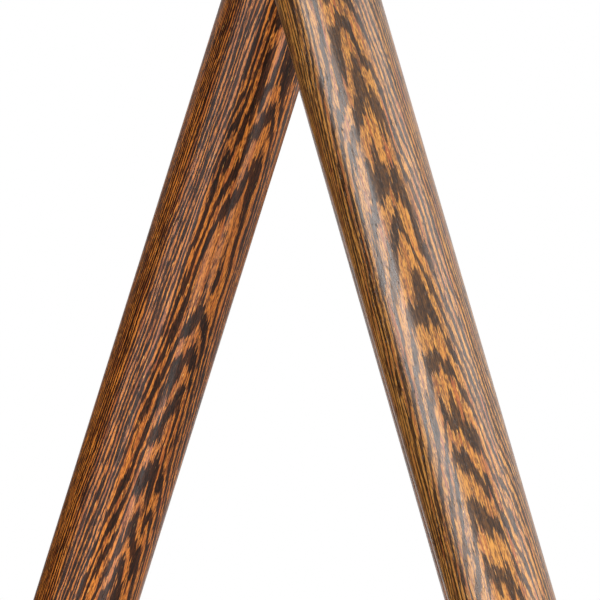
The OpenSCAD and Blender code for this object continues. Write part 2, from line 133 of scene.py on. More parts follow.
crossing = seen_crossing("front", "left")
middle = crossing - CROSSING_ABOVE_MIDDLE * picture_up - CROSSING_RIGHT_OF_MIDDLE * picture_right
near_depth = -middle[1] + COMES_NEARER * CROSSING_ABOVE_MIDDLE
lens_data = bpy.data.cameras.new("camera")
lens_data.sensor_width = SENSOR
lens_data.lens = SENSOR * (SHOT_DISTANCE - near_depth) / SHOT_SIDE
lens_data.clip_end = 100.0
camera = bpy.data.objects.new("camera", lens_data)
bpy.context.scene.collection.objects.link(camera)
camera.matrix_world = Matrix((
    (picture_right[0], picture_up[0], 0.0, middle[0]),
    (picture_right[1], picture_up[1], -1.0, -SHOT_DISTANCE),
    (picture_right[2], picture_up[2], 0.0, middle[2]),
    (0.0, 0.0, 0.0, 1.0),
))
bpy.context.scene.camera = camera
bpy.context.scene.view_settings.view_transform = "Standard"
print("the legs cross at", crossing.round(4), "and the lens is", round(lens_data.lens), "mm")

# %% [markdown]
# ## Colours
# A colour is easiest to choose by the numbers that a screen shows, but light adds up only in linear
# amounts. So each colour is told as on a screen and turned into linear light.

# %% Colours
def colour(red, green, blue):
    """A colour given as on a screen, from 0 to 255, turned into linear light."""
    screen = np.array([red, green, blue]) / 255
    linear = np.where(screen > 0.04045, ((screen + 0.055) / 1.055) ** 2.4, screen / 12.92)
    return (*linear.tolist(), 1.0)


print("a middle grey of 128 is", round(colour(128, 128, 128)[0], 3), "in linear light")

# %% [markdown]
# ## Wires
# A grain or a tarnish is a formula of the place on a piece. A wire is one output of a node, and sums
# of wires add the Math nodes, so that the formula can be written as plain arithmetic.

# %% Wires
class Wire:
    """An output in a node tree that takes part in sums."""

    def __init__(self, tree, socket):
        self.tree = tree
        self.socket = socket

    def math(self, operation, *values):
        return self.tree.node("Math", {"operation": operation}, dict(enumerate(values)))

    def __add__(self, other):
        return self.math("ADD", self, other)

    def __mul__(self, other):
        return self.math("MULTIPLY", self, other)

    def __sub__(self, other):
        return self.math("SUBTRACT", self, other)

    def __rsub__(self, other):
        return self.math("SUBTRACT", other, self)

    def __pow__(self, other):
        return self.math("POWER", self, other)

    __radd__ = __add__
    __rmul__ = __mul__

    def sine(self):
        return self.math("SINE", self)

    def either(self, other):
        """The greater of two wires."""
        return self.math("MAXIMUM", self, other)

    def step(self, low, high):
        """0 below low, 1 above high and smooth between."""
        sockets = {"Value": self, "From Min": low, "From Max": high}
        return self.tree.node("MapRange", {"interpolation_type": "SMOOTHSTEP"}, sockets)


print("wires can be added, subtracted, multiplied and raised to a power")

# %% [markdown]
# ## Node trees
# Any node that isn't a sum comes from one method, which takes its kind, its settings and what goes
# into its sockets. The air and the materials are both such trees.

# %% Node trees
class Tree:
    """A node tree under construction."""

    def __init__(self, owner):
        owner.use_nodes = True
        self.tree = owner.node_tree

    def node(self, kind, settings, sockets, output=0):
        """Adds a node, sets it, fills its sockets with values or wires, and returns one output."""
        made = self.tree.nodes.new("ShaderNode" + kind)
        for name, value in settings.items():
            setattr(made, name, value)
        for name, value in sockets.items():
            self.plug(made.inputs[name], value)
        return Wire(self, made.outputs[output])

    def plug(self, socket, value):
        if isinstance(value, Wire):
            self.tree.links.new(value.socket, socket)
        else:
            socket.default_value = value


print("a node tree takes nodes, values and wires")

# %% [markdown]
# ## Paints
# A paint is a material with the few patterns that this tripod needs: noise, a mix of two colours and
# a bump. They lie in a piece's own axes, so the grain runs along a leg and the lathe's rings run
# round their axis.

# %% Paints
class Paint(Tree):
    """A material under construction, with what its patterns are made of."""

    def __init__(self, name):
        self.material = bpy.data.materials.new(name)
        super().__init__(self.material)

    def finish(self, **looks):
        """Fills the Principled shader's sockets, named with underscores for spaces."""
        shader = self.tree.nodes["Principled BSDF"]
        for name, value in looks.items():
            self.plug(shader.inputs[name.replace("_", " ")], value)
        return self.material

    def local(self, origin, axes):
        """Object coordinates turned into a piece's own axes, in millimetres from its origin."""
        turn = Matrix([list(axis) for axis in axes]).transposed().to_euler()
        place = self.node("TexCoord", {}, {}, "Object")
        sockets = {"Vector": place, "Location": tuple(origin), "Rotation": turn, "Scale": (MM, MM, MM)}
        return self.node("Mapping", {"vector_type": "TEXTURE"}, sockets)

    def parts(self, place):
        """The three numbers of a vector."""
        first = self.node("SeparateXYZ", {}, {0: place})
        return [Wire(self, output) for output in first.socket.node.outputs]

    def noise(self, place, fineness, detail=2.0, seed=0.0):
        """Soft noise about 0, from -0.5 to 0.5, with its own fineness along each axis."""
        stretched = self.node("VectorMath", {"operation": "MULTIPLY"}, {0: place, 1: fineness})
        sockets = {"Vector": stretched, "W": seed, "Scale": 1.0, "Detail": detail}
        return self.node("TexNoise", {"noise_dimensions": "4D"}, sockets) - 0.5

    def mix(self, share, low, high):
        """Two colours mixed by share."""
        return self.node("Mix", {"data_type": "RGBA"}, {0: share, 6: low, 7: high}, 2)

    def bump(self, height, depth):
        """A bumped normal. Height runs from 0 to 1 and stands for depth in metres."""
        return self.node("Bump", {}, {"Height": height, "Distance": depth, "Strength": 1.0})


print("a paint can turn its axes, mix, and add noise and bumps")

# %% [markdown]
# ## Growth layers
# Wenge is a dark wood with a band of pale soft tissue in every growth layer. The bands are worked out
# in the round, as shells about a pith line beside the piece that leans a little against its length.
# Where a shell only grazes the surface, the bands open into nested arches, and beside them they close
# to fine lines, with nothing painted by hand. Noise stretched along the grain frays their edges.

# %% Growth layers
BAND_PITCH = 1.05


def growth_bands(paint, place, pith, lean, seed, pitch, unrest):
    """A wave from -1 to 1 with one turn for each growth layer: the sine of the distance to the pith
    line over the pitch. pith is where that line crosses the first two axes, and lean how far it moves
    along them per unit of length. Three noises, from wide and slow to fine, bend the distance."""
    x, y, z = paint.parts(place)
    across = x - pith[0] + z * lean[0]
    through = y - pith[1] + z * lean[1]
    sway = paint.noise(place, (0.06, 0.06, 0.012), 2.0, seed) * 6.0
    ripple = paint.noise(place, (0.45, 0.45, 0.035), 2.0, seed + 3) * (1.7 * unrest)
    fray = paint.noise(place, (1.7, 1.7, 0.1), 3.0, seed + 7) * (0.75 * unrest)
    distance = (across * across + through * through) ** 0.5 + sway + ripple + fray
    return (distance * (2 * math.pi / pitch)).sine()


print("a growth layer is", BAND_PITCH, "mm thick")

# %% [markdown]
# ## Wenge
# The pale bands carry redder streaks, and dark pores run through all of the wood. Small bright yellow
# specks are painted into the colour: yellow resin, with glints of light on it painted in as well. The
# oil lies as a thin coat on the pale bands and has sunk into the dark ones.

# %% Wenge
WOOD_IOR = 1.5
OIL_ROUGHNESS = 0.26
GRAIN_DEPTH = 0.05 * MM
RED_WOOD = colour(150, 72, 32)
# The specks' yellow, which paints in resin together with painted glints of light on it.
RESIN_AND_GLINT = colour(238, 176, 92)


def wenge(name, origin, axes, pith, lean, seed, dark, pale, unrest=1.0, share=0.0,
          pitch=BAND_PITCH, rough=0.3, shine=0.52, oil=0.36):
    """Wenge with its grain along the third axis. dark and pale are the two ends of the colours of the
    hard and the soft wood. share widens the pale bands and unrest frays them. rough and shine are the
    wood's own gloss, and oil is how much of a coat lies on the pale bands."""
    paint = Paint(name)
    place = paint.local(origin, axes)
    band = growth_bands(paint, place, pith, lean, seed, pitch, unrest)
    hair = paint.noise(place, (2.4, 2.4, 0.06), 2.0, seed + 11)
    fleck = paint.noise(place, (2.6, 2.6, 0.28), 3.0, seed + 13)
    tone = paint.noise(place, (0.5, 0.5, 0.03), 3.0, seed + 17)
    speck = paint.noise(place, (3.8, 3.8, 0.6), 2.0, seed + 29)
    soft = (band * 0.6 + hair * 1.3 + fleck * 1.1 + share).step(-0.2, 0.2)
    pore = paint.noise(place, (3.0, 3.0, 0.4), 1.0, seed + 23).step(0.12, 0.22)
    flush = paint.noise(place, (1.5, 1.5, 0.045), 2.0, seed + 41).step(-0.02, 0.2)
    # Sparse bright specks, painted as resin and as glints of light on it.
    resin_and_glint = paint.noise(place, (3.6, 3.6, 0.5), 1.0, seed + 37).step(0.18, 0.25) * (soft * 0.75 + 0.25)

    hard_tone = (tone + hair + speck * 1.8 + 0.45).step(0.15, 0.9)
    soft_tone = (tone + hair * 1.6 + fleck * 0.8 + speck * 2.4 + 0.5).step(0.12, 0.88)
    tissue = paint.mix(flush * 0.7, paint.mix(soft_tone, *pale), RED_WOOD)
    wood = paint.mix(soft, paint.mix(hard_tone, *dark), tissue)
    wood = paint.mix(pore * 0.75, wood, dark[0])
    return paint.finish(
        Base_Color=paint.mix(resin_and_glint * 0.85, wood, RESIN_AND_GLINT),
        Roughness=pore * 0.2 + soft * 0.08 + hair * 0.3 + rough,
        Normal=paint.bump(soft * 0.3 - pore * 0.6 + hair * 0.4 + 0.7, GRAIN_DEPTH),
        Specular_IOR_Level=shine,
        IOR=WOOD_IOR,
        Coat_Weight=soft * oil,
        Coat_Roughness=OIL_ROUGHNESS,
    )


print("wenge is oiled with a coat of roughness", OIL_ROUGHNESS)

# %% [markdown]
# ## The wood of the legs and of the platform
# No two legs come from the same board, so each has its own pith line, and with it its own figure. The
# left leg is of darker and redder wood, whose layers are thinner, and its oil has sunk in further. The
# platform was turned from a board, so its grain runs across it.

# %% Wood of the legs and of the platform
DARK_BROWN = (colour(38, 22, 10), colour(88, 56, 26))
DARK_RED = (colour(25, 12, 5), colour(70, 35, 14))
ORANGE = (colour(96, 55, 22), colour(190, 130, 56))
RUST = (colour(92, 46, 14), colour(206, 122, 44))


def seen_axes(leg):
    """Axes of a leg as the camera sees it: to the right, away from the camera, and up the leg."""
    up = -DOWN[leg]
    away = unit(SIGHT - up * (SIGHT @ up))
    right = np.cross(away, up)
    return right, away, up


LEG_WOOD = {
    "front": wenge("wenge_front_leg", HINGE["front"], seen_axes("front"), pith=(-1.0, 60.0),
                   lean=(0.0, 0.064), seed=2.0, dark=DARK_BROWN, pale=ORANGE),
    "left": wenge("wenge_left_leg", HINGE["left"], seen_axes("left"), pith=(-34.0, 46.0),
                  lean=(0.02, 0.055), seed=9.0, dark=DARK_RED, pale=RUST, unrest=0.95, share=-0.18,
                  pitch=0.86, rough=0.34, shine=0.12, oil=0.18),
    "rear": wenge("wenge_rear_leg", HINGE["rear"], seen_axes("rear"), pith=(-20.0, 52.0),
                  lean=(0.0, -0.08), seed=21.0, dark=DARK_BROWN, pale=RUST),
}
PLATFORM_WOOD = wenge("wenge_platform", ORIGIN, (NORTH, UP, EAST), pith=(6.0, -52.0),
                      lean=(0.02, 0.03), seed=31.0, dark=DARK_BROWN, pale=ORANGE)
print("wenge made for", sorted(LEG_WOOD), "and the platform")

# %% [markdown]
# ## Turned brass and steel
# Turned brass is never one flat yellow. The tool leaves rings round the axis, lacquer and fingers leave
# slow brown blotches, and both break up the gloss. The rings are noise that reads only the radius and
# the height, so they run round whatever axis the piece was turned on.

# %% Turned metal
BRASS = (colour(120, 92, 54), colour(198, 166, 108), 0.27)
STEEL = (colour(112, 110, 108), colour(182, 182, 184), 0.3)


def cross_axes(along):
    """Two axes square to a given one, and that one."""
    along = unit(along)
    side = unit(np.cross(along, (0.31, 0.83, 0.47)))
    return side, np.cross(along, side), along


def turned_metal(name, metal, origin, along):
    """Metal off the lathe: rings round the axis over slow blotches of tarnish."""
    dull, bright, roughness = metal
    paint = Paint(name)
    place = paint.local(origin, cross_axes(along))
    x, y, height = paint.parts(place)
    radius = (x * x + y * y) ** 0.5
    rings = paint.noise(paint.node("CombineXYZ", {}, {0: radius, 1: height}), (4.5, 4.5, 1), 3.0, 4.0)
    blotch = paint.noise(place, (0.11, 0.11, 0.11), 4.0, 5.0)
    smudge = paint.noise(place, (0.7, 0.7, 0.7), 3.0, 6.0)
    tone = paint.mix((blotch + rings * 0.3 + smudge * 0.15 + 0.56).step(0.25, 0.75), dull, bright)
    return paint.finish(
        Base_Color=tone,
        Metallic=1.0,
        Roughness=rings * 0.16 + smudge * 0.1 - blotch * 0.2 + roughness,
        Normal=paint.bump(rings + 0.5, 0.008 * MM),
    )


print("turned metal is ready, with a roughness of", BRASS[2], "for brass and", STEEL[2], "for steel")

# %% [markdown]
# ## Cast brass and forged steel
# A casting has a fine sandy skin in place of the rings. Where hands and screws rub it bare, on its
# edges, it is brighter and smoother.

# %% Cast metal
def cast_metal(name, metal, grit):
    """Cast or forged metal: a sandy skin grit millimetres deep, with darker blotches."""
    dull, bright, roughness = metal
    paint = Paint(name)
    place = paint.local((0, 0, 0), np.eye(3))
    skin = paint.noise(place, (2.2, 2.2, 2.2), 3.0, 8.0)
    blotch = paint.noise(place, (0.09, 0.09, 0.09), 4.0, 9.0)
    tone = paint.mix((blotch * 1.2 + skin * 0.5 + 0.55).step(0.25, 0.8), dull, bright)
    return paint.finish(
        Base_Color=tone,
        Metallic=1.0,
        Roughness=skin * 0.2 - blotch * 0.3 + roughness,
        Normal=paint.bump(skin + 0.5, grit * MM),
    )


CAST_BRASS = cast_metal("cast_brass", (BRASS[0], BRASS[1], 0.36), 0.05)
WORN_BRASS = cast_metal("worn_brass", (colour(172, 142, 90), colour(226, 198, 142), 0.22), 0.01)
PLAIN_STEEL = cast_metal("satin_steel", STEEL, 0.012)
print("cast brass, worn brass and satin steel made")

# %% [markdown]
# ## Leather
# The pad on the platform is smooth brown leather. Its grain is small cells with creases between them,
# and the cells' edges are bent by noise so that no two look alike.

# %% Leather
def leather(name):
    """Smooth brown leather: cells under a millimetre wide with creases between them."""
    paint = Paint(name)
    place = paint.local((0, 0, 0), np.eye(3))
    bend = paint.noise(place, (0.8, 0.8, 0.8), 2.0, 3.0)
    bent = paint.node("VectorMath", {"operation": "ADD"}, {0: place, 1: bend})
    sockets = {"Vector": bent, "Scale": 1.15}
    crease = paint.node("TexVoronoi", {"feature": "DISTANCE_TO_EDGE"}, sockets).step(0.0, 0.16)
    cloud = paint.noise(place, (0.08, 0.08, 0.08), 4.0, 1.0)
    tone = cloud + paint.noise(place, (1.3, 1.3, 1.3), 2.0, 2.0) * 0.5
    hide = paint.mix((tone + 0.5).step(0.25, 0.8), colour(66, 38, 24), colour(112, 68, 42))
    return paint.finish(
        # The creases between the cells are darker in colour than the cells.
        Base_Color=paint.mix(crease * 0.6 + 0.4, colour(40, 23, 15), hide),
        Roughness=tone * 0.2 - crease * 0.1 + 0.6,
        Normal=paint.bump(crease, 0.06 * MM),
    )


LEATHER = leather("pad_leather")
print("leather made")

# %% [markdown]
# ## From a grid to a piece
# A surface is worked out as a grid of points and becomes a mesh of four-sided faces. The grid closes on
# itself round the piece, and a row whose points all meet makes a pole.

# %% Grids
SHARP = math.radians(40)


def shell_faces(rows, columns, rows_close):
    """The four corners of each face of a grid that closes across its columns."""
    index = np.arange(rows * columns).reshape(rows, columns)
    index = np.concatenate([index, index[:, :1]], 1)
    if rows_close:
        index = np.concatenate([index, index[:1]])
    corners = [index[:-1, :-1], index[1:, :-1], index[1:, 1:], index[:-1, 1:]]
    return np.stack(corners, -1).reshape(-1, 4)


def piece_of(name, grids, rows_close=False):
    """One object from several closed grids of points in metres, each with rows, columns and places."""
    points, faces, count = [], [], 0
    for grid in grids:
        points.append(grid.reshape(-1, 3))
        faces.append(shell_faces(*grid.shape[:2], rows_close) + count)
        count += len(points[-1])
    mesh = bpy.data.meshes.new(name)
    mesh.from_pydata(np.concatenate(points).tolist(), [], np.concatenate(faces).tolist())
    work = bmesh.new()
    work.from_mesh(mesh)
    bmesh.ops.remove_doubles(work, verts=work.verts, dist=1e-7)
    bmesh.ops.recalc_face_normals(work, faces=work.faces)
    work.to_mesh(mesh)
    work.free()
    mesh.shade_smooth()
    mesh.set_sharp_from_angle(angle=SHARP)
    made = bpy.data.objects.new(name, mesh)
    bpy.context.scene.collection.objects.link(made)
    return made


tube = shell_faces(2, 8, False)
print("a tube of two rings with 8 points each has", len(tube), "faces")

# %% [markdown]
# ## Taking a node's place
# A new piece stands in for a node of the model: it rides on the same body, and the node is hidden.
# The body is looked up in the model's record and never written twice.

# %% Dressing
BODIES = frame["record"]["behaviour"]["bodies"]
BODY_OF = {node: body for body, members in BODIES.items() for node in members}


def dress(piece, materials, node, stands_in=True):
    """Gives a piece its materials and the body of a node, which it stands in for."""
    for material in materials:
        piece.data.materials.append(material)
    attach(piece, BODY_OF[node])
    if stands_in:
        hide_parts(node)
    return piece


# %% [markdown]
# ## Measuring a node
# A new piece has to fit where the plain one was, so its lengths and radii are read off the node's own
# points, along the axis that it turns or was turned on.

# %% Measuring
def node_points(node):
    """The points of a node's mesh, in metres."""
    mesh = frame["nodes"][node].data
    flat = np.empty(3 * len(mesh.vertices))
    mesh.vertices.foreach_get("co", flat)
    return flat.reshape(-1, 3)


def reach(node, origin, along):
    """From where to where a node goes along an axis, and how far out from it, in millimetres."""
    offset = node_points(node) - origin
    height = offset @ along
    radius = np.linalg.norm(offset - height[:, None] * along, axis=1)
    return height.min() / MM, height.max() / MM, radius.max() / MM


screw_reach = np.round(reach("camera_screw", ORIGIN, UP), 2)
print("the camera screw's low end, high end and radius are", *screw_reach, "mm")

# %% [markdown]
# ## Profiles for the lathe
# Most of the brass on a tripod head comes off a lathe. Its shape is a profile of radius and height.
# Corners are rounded first, because no turned edge is sharp and a small round edge is what catches
# the light.

# %% Profiles
def rounded(profile, radius, closed=False):
    """A profile with each corner replaced by a parabola from radius before it to radius after it:
    (1-t)(1-t) before + 2t(1-t) corner + t t after."""
    corner = np.asarray(profile, float)
    back = np.roll(corner, 1, 0) - corner
    ahead = np.roll(corner, -1, 0) - corner
    size = np.broadcast_to(radius, len(corner)).astype(float)
    if not closed:
        size = size * (np.arange(len(corner)) % (len(corner) - 1) > 0)
    ends = []
    for side in (back, ahead):
        length = np.linalg.norm(side, axis=1)
        ends.append(corner + side * (np.minimum(size, 0.48 * length) / length)[:, None])
    t = np.linspace(0, 1, 5)[None, :, None]
    start, stop = ends[0][:, None], ends[1][:, None]
    curve = (1 - t) ** 2 * start + 2 * t * (1 - t) * corner[:, None] + t ** 2 * stop
    curve = curve.reshape(-1, 2)
    before = curve[-1:] if closed else curve[:1] - 1
    moved = np.linalg.norm(np.diff(curve, axis=0, prepend=before), axis=1)
    return curve[moved > 1e-6]


def fine(profile, step, closed=False):
    """A profile with points added so that no two are further apart than step."""
    path = np.concatenate([profile, profile[:1]]) if closed else profile
    run = np.concatenate([[0], np.cumsum(np.linalg.norm(np.diff(path, axis=0), axis=1))])
    stations = np.unique(np.round(np.concatenate([run, np.arange(0, run[-1], step)]), 3))
    stations = stations[:-1] if closed else stations
    return np.stack([np.interp(stations, run, path[:, 0]), np.interp(stations, run, path[:, 1])], 1)


corner = rounded([(0, 0), (1, 0), (1, 1)], 0.2)
print("rounding a square corner makes", len(corner) - 2, "points of it")

# %% [markdown]
# ## Turning
# The profile is spun round an axis. A relief may then change the radius or the height by angle, which
# gives scallops, screw threads, slots and engraved marks on the same surface.

# %% Turning
def spun(profile, origin, along, side, spokes=96, relief=None):
    """A profile spun round an axis. The point at radius r, height h and angle a is origin + h along +
    r cos(a) side + r sin(a) cross, after relief(a, r, h) has added to r and h."""
    angle = np.linspace(0, 2 * math.pi, spokes, endpoint=False)[None, :]
    radius, height = profile[:, :1] + 0 * angle, profile[:, 1:] + 0 * angle
    if relief:
        more_radius, more_height = relief(angle, radius, height)
        radius, height = radius + more_radius, height + more_height
    along, side = unit(along), unit(side)
    cross = np.cross(along, side)
    out = np.cos(angle)[..., None] * side + np.sin(angle)[..., None] * cross
    return np.asarray(origin) + MM * (radius[..., None] * out + height[..., None] * along)


def ramp(value, low, high):
    """0 below low, 1 above high and smooth between: t t (3 - 2t)."""
    t = np.clip((value - low) / (high - low), 0, 1)
    return t * t * (3 - 2 * t)


ring = spun(np.array([(10.0, 0.0)]), ORIGIN, UP, EAST, spokes=4)
print("a radius of 10 mm spun in 4 spokes starts at", *ring[0, 0].round(4), "m")

# %% [markdown]
# ## The camera screw
# The screw under a camera is a 3/8 inch thread of 16 turns to the inch above a plain shank. It is one
# turned surface whose radius follows a helix, so the thread is real shape.

# %% Camera screw
THREAD_PITCH = 25.4 / 16
THREAD_DEPTH = 0.8
SHANK_R = 4.0
SHANK_TOP = -0.5


def thread(pitch, depth, low, high):
    """A relief of a screw thread between two heights: depth times a flattened triangle wave of
    height / pitch - angle / turn."""
    def relief(angle, radius, height):
        turn = height / pitch - angle / (2 * math.pi)
        wave = np.clip(1.5 * np.abs(2 * (turn % 1) - 1) - 0.2, 0, 1)
        inside = ramp(height, low, low + 0.3) * (1 - ramp(height, high - 0.3, high))
        return -depth * wave * inside, 0
    return relief


low, high, stud_r = reach("camera_screw", ORIGIN, UP)
stud_profile = [(0, low), (SHANK_R, low), (SHANK_R, SHANK_TOP), (stud_r, SHANK_TOP),
                (stud_r, high - 0.9), (stud_r - 0.9, high), (0, high)]
turned_stud = fine(rounded(stud_profile, [0, 0.4, 0, 0, 0.3, 0.4, 0]), 0.1)
helix = thread(THREAD_PITCH, THREAD_DEPTH, SHANK_TOP, high + 0.5)
stud = piece_of("camera_stud", [spun(turned_stud, ORIGIN, UP, EAST, 96, helix)])
dress(stud, [turned_metal("stud_steel", STEEL, ORIGIN, UP)], "camera_screw")
print("the camera screw is", round(2 * stud_r, 3), "mm thick")

# %% [markdown]
# ## The camera screw's wheel
# The wheel below the platform turns the screw. It has scallops for the fingers, a rounded rim and a
# dished face.

# %% Camera screw's wheel
WHEEL_HUB_R = 6.5


def scallops(count, depth, rim):
    """A relief of hollows round the rim: depth times a power of a cosine of count angles."""
    return lambda angle, radius, height: (
        -depth * (0.5 + 0.5 * np.cos(count * angle)) ** 1.6 * ramp(radius, 0.74 * rim, 0.9 * rim), 0)


def wheel_profile(low, high, rim, hub, dish):
    """A disc's profile from its axis below to its axis above, with a bead and a dish on both faces."""
    below = [(0, low + 0.4), (hub, low + 0.4), (hub + 0.6, low + dish), (rim * 0.66, low + dish),
             (rim * 0.72, low), (rim - 0.5, low), (rim, low + 0.9)]
    return below + [(radius, low + high - height) for radius, height in reversed(below)]


low, high, rim = reach("camera_screw_wheel", ORIGIN, UP)
wheel = fine(rounded(wheel_profile(low, high, rim, WHEEL_HUB_R, 0.9), 0.35), 0.5)
dress(piece_of("camera_screw_thumb_wheel", [spun(wheel, ORIGIN, UP, EAST, 216, scallops(18, 1.05, rim))]),
      [turned_metal("camera_wheel_brass", BRASS, ORIGIN, UP)], "camera_screw_wheel")
print("the camera screw's wheel is", round(2 * rim), "mm across")

# %% [markdown]
# ## The lock screws
# One lock screw stops the panning and one the tilting. Each is a plain pin, a collar and a scalloped
# wheel turned from one bar, so each is one profile on its own axis.

# %% Lock screws
def lock_screw(node, along, pin_r, collar_r, collar_h, wheel_h, count):
    """A pin, a collar and a scalloped wheel along an axis through the middle of a node's box. From its
    wheel's rim the profile goes in over the outer face: a bead, a dish and a low button."""
    middle = np.array(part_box(node)).mean(0)
    low, high, rim = reach(node, middle, along)
    wheel_low = high - wheel_h
    profile = [(0, low), (pin_r, low), (pin_r, wheel_low - collar_h), (collar_r, wheel_low - collar_h),
               (collar_r, wheel_low - 0.9), (collar_r - 0.6, wheel_low), (rim - 0.5, wheel_low),
               (rim, wheel_low + 0.8), (rim, high - 0.8), (rim - 0.5, high), (rim * 0.72, high),
               (rim * 0.64, high - 0.8), (rim * 0.4, high - 0.8), (rim * 0.3, high - 0.2),
               (0, high - 0.1)]
    grips = scallops(count, rim / 13, rim)
    grid = spun(fine(rounded(profile, 0.35), 0.5), middle, along, UP, 12 * count, grips)
    name = node.replace("_screw", "_knob")
    return dress(piece_of(name, [grid]), [turned_metal(name + "_brass", BRASS, middle, along)], node)


lock_screw("pan_lock_screw", EAST, pin_r=2.5, collar_r=4.0, collar_h=3.0, wheel_h=6.0, count=12)
lock_screw("tilt_lock_screw", -NORTH, pin_r=4.0, collar_r=6.0, collar_h=4.0, wheel_h=7.0, count=16)
print("two lock screws turned")

# %% [markdown]
# ## The turntable
# The turntable is a cap that sits on the round boss. Its wall carries a bead at the bottom and a band
# engraved with a mark every 5 degrees, longer every 15, so a panorama can be stepped. The marks are
# narrow cuts in the turned surface: the radius drops where the angle is near a whole step.

# %% Turntable
MARK_STEP = math.radians(5)
MARK_SPOKES = 720
MARK_DEPTH = 0.3
MARK_TOP, SHORT_MARK, LONG_MARK = 1.6, 4.2, 6.2
BORE_R = 4.05
WALL = 6.0
DISC = 6.0

low, high, _ = reach("turntable", ORIGIN, UP)
table_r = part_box("turntable")[1][1] / MM


def scale_marks(angle, radius, height):
    """Cuts of MARK_DEPTH, one spoke wide, at each whole step of the angle: a long one every third."""
    step = np.round(angle / MARK_STEP)
    near = np.abs(angle - step * MARK_STEP) < 0.6 * math.pi / MARK_SPOKES
    foot = high - np.where(step % 3 == 0, LONG_MARK, SHORT_MARK)
    cut = near & (height > foot) & (height < high - MARK_TOP) & (radius > table_r - 1.5)
    return np.where(cut, -MARK_DEPTH, 0.0), 0


table_profile = [(BORE_R, high - DISC), (BORE_R, high), (table_r - 1.0, high), (table_r, high - 1.0),
                 (table_r, high - MARK_TOP), (table_r, high - SHORT_MARK), (table_r, high - LONG_MARK),
                 (table_r, high - 6.8), (table_r - 0.5, high - 7.1), (table_r - 0.5, high - 7.7),
                 (table_r - 0.1, high - 8.0), (table_r - 0.1, low + 2.6), (table_r - 0.6, low + 2.2),
                 (table_r, low + 1.7), (table_r, low + 0.5), (table_r - 0.5, low), (table_r - WALL, low),
                 (table_r - WALL, high - DISC)]
table = fine(rounded(table_profile, 0.25, True), 4.0, True)
dress(piece_of("turntable_cap", [spun(table, ORIGIN, UP, EAST, MARK_SPOKES, scale_marks)], True),
      [turned_metal("turntable_brass", BRASS, ORIGIN, UP)], "turntable")
print("the turntable is", round(2 * table_r, 1), "mm across")

# %% [markdown]
# ## The lock boss
# The pan lock screw goes through a low round boss on the turntable's wall. The boss was turned on the
# screw's axis and brazed on, so it is a piece of its own that rides with the turntable.

# %% Lock boss
LOCK_BORE_R = 2.55
BOSS_R = 5.0
lock_axis = np.array(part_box("pan_lock_screw")).mean(0) * UP
boss = [(LOCK_BORE_R, table_r - 2), (BOSS_R, table_r - 2), (BOSS_R, table_r + 1.4),
        (BOSS_R - 0.6, table_r + 2), (LOCK_BORE_R, table_r + 2)]
boss_grid = spun(fine(rounded(boss, 0.2, True), 0.5, True), lock_axis, EAST, UP, 64)
dress(piece_of("turntable_lock_boss", [boss_grid], True),
      [turned_metal("lock_boss_brass", BRASS, lock_axis, EAST)], "turntable", stands_in=False)
print("the lock boss is", round(2 * BOSS_R), "mm across")

# %% [markdown]
# ## The platform
# The round wooden platform has a turned moulding on its edge: a quarter round above a small step. The
# leather on it is a firm disc, so it needs no stuffing: its edge is rounded over, a tooled line runs
# near the rim, and its top is level where a camera sits.

# %% Platform and leather
BOARD_HOLE_R = 4.3
PAD_HOLE_R = 5.8
ROUND_SPOKES = 192

low, high, board_r = reach("platform_board", ORIGIN, UP)
board_profile = [(BOARD_HOLE_R, low), (BOARD_HOLE_R, high), (board_r - 4.6, high),
                 (board_r - 4.2, high - 0.7), (board_r - 2.6, high - 1.2), (board_r - 0.9, high - 2.6),
                 (board_r, high - 4.6), (board_r, low + 3.4), (board_r - 0.6, low + 3.0),
                 (board_r - 0.9, low + 1.4), (board_r - 2.2, low)]
board = fine(rounded(board_profile, [0, 0, 0.4, 0.3, 1.2, 1.6, 1.4, 0.2, 0.5, 1.2, 0.6], True), 0.6, True)
dress(piece_of("platform_turned_board", [spun(board, ORIGIN, UP, EAST, ROUND_SPOKES)], True),
      [PLATFORM_WOOD], "platform_board")

low, high, pad_r = reach("platform_pad", ORIGIN, UP)
pad_profile = [(PAD_HOLE_R, low), (PAD_HOLE_R, high - 0.3), (PAD_HOLE_R + 0.8, high), (pad_r - 4.6, high),
               (pad_r - 4.2, high - 0.35), (pad_r - 3.6, high - 0.35), (pad_r - 3.2, high - 0.05),
               (pad_r - 1.4, high - 0.25), (pad_r, high - 1.3), (pad_r, low)]
pad = fine(rounded(pad_profile, [0, 0.2, 0.5, 0.2, 0.15, 0.15, 0.3, 0.9, 0.8, 0], True), 0.8, True)
dress(piece_of("platform_leather", [spun(pad, ORIGIN, UP, EAST, ROUND_SPOKES)], True),
      [LEATHER], "platform_pad")
print("the platform is", round(2 * board_r), "mm across and its leather", round(2 * pad_r), "mm")

# %% [markdown]
# ## Shoes and spikes
# Each foot is a turned brass shoe on the end of the extension, with a steel spike for soft ground. The
# profile starts with a grooved band where it meets the wood and falls in a long hollow curve to a bead
# at the spike. The spike keeps its blunt round tip, which is what the tripod stands on.

# %% Shoes and spikes
SHOE_BORE_R = 6.0
SPIKE_R = 3.5
TIP_R = 2.2


def shoe_curve(top, bottom, wide, narrow, count=14):
    """A hollow curve from wide to narrow: the width falls with a power of the way down."""
    way = np.linspace(0, 1, count)
    return np.stack([narrow + (wide - narrow) * (1 - way) ** 1.35, top + (bottom - top) * way], 1)


